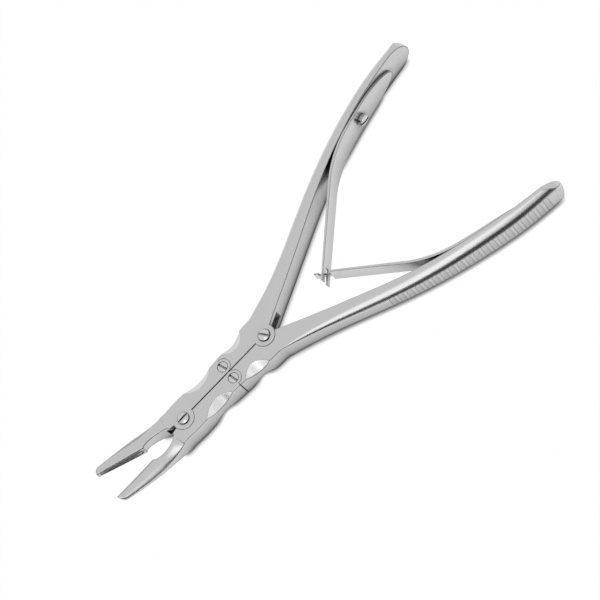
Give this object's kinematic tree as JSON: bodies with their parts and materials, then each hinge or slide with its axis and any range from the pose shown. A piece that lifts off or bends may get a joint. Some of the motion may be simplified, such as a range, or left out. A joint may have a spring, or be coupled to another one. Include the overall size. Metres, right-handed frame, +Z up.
{
  "type": "bone rongeur",
  "caption": "Double-action bone rongeur with up-curved cupped jaws, a screwed box joint, fluted handles and interlocked leaf springs.",
  "frame": {"origin": "main pivot of the handles, in the plane of the box joint's flat underside", "axes": "+X along the tool from the jaws towards the handles, +Y towards the left handle, +Z up, away from the face it lies on"},
  "size_m": [0.2376, 0.1138, 0.0175],
  "materials": {
    "handle_steel": "satin stainless steel",
    "jaw_steel": "satin stainless steel",
    "screw_steel": "polished stainless steel",
    "spring_steel": "satin spring steel"
  },
  "bodies": {
    "handle_left": {"handle_left": "handle_steel", "handle_pivot_screw": "screw_steel", "spring_screw_left": "screw_steel"},
    "handle_right": {"handle_right": "handle_steel", "spring_screw_right": "screw_steel"},
    "jaw_left": {"jaw_left": "jaw_steel", "jaw_pivot_screw": "screw_steel", "link_screw_left": "screw_steel"},
    "jaw_right": {"jaw_right": "jaw_steel", "link_screw_right": "screw_steel"},
    "spring_left": {"spring_left": "spring_steel"},
    "spring_right": {"spring_right": "spring_steel"}
  },
  "joints": [
    {"name": "handle_squeeze", "type": "hinge", "parent": "handle_left", "child": "handle_right", "pos_m": [0, 0, 0], "axis": [0, 0, 1], "range_deg": [0, 23.9], "stiffness_Nm_per_rad": 1.5, "springref_deg": -11.46},
    {"name": "jaw_left_link", "type": "hinge", "parent": "handle_left", "child": "jaw_left", "pos_m": [-0.0233, 0.004, 0], "axis": [0, 0, 1], "range_deg": [0, 21.6]},
    {"name": "jaw_right_link", "type": "hinge", "parent": "handle_right", "child": "jaw_right", "pos_m": [-0.0233, -0.004, 0], "axis": [0, 0, 1], "range_deg": [-21.6, 0]},
    {"name": "spring_left_flex", "type": "hinge", "parent": "handle_left", "child": "spring_left", "pos_m": [0.07828, 0.03652, 0], "axis": [0, 0, 1], "range_deg": [-9.5, 0], "deforming": ["spring_left"]},
    {"name": "spring_right_flex", "type": "hinge", "parent": "handle_right", "child": "spring_right", "pos_m": [0.07828, -0.03652, 0], "axis": [0, 0, 1], "range_deg": [0, 9.5], "deforming": ["spring_right"]}
  ],
  "couplings": [
    {"joint": "jaw_left_link", "follows": "handle_squeeze", "ratio": 0.9009},
    {"joint": "jaw_right_link", "follows": "handle_squeeze", "ratio": -0.9009},
    {"joint": "spring_left_flex", "follows": "handle_squeeze", "ratio": -0.395},
    {"joint": "spring_right_flex", "follows": "handle_squeeze", "ratio": 0.395}
  ]
}
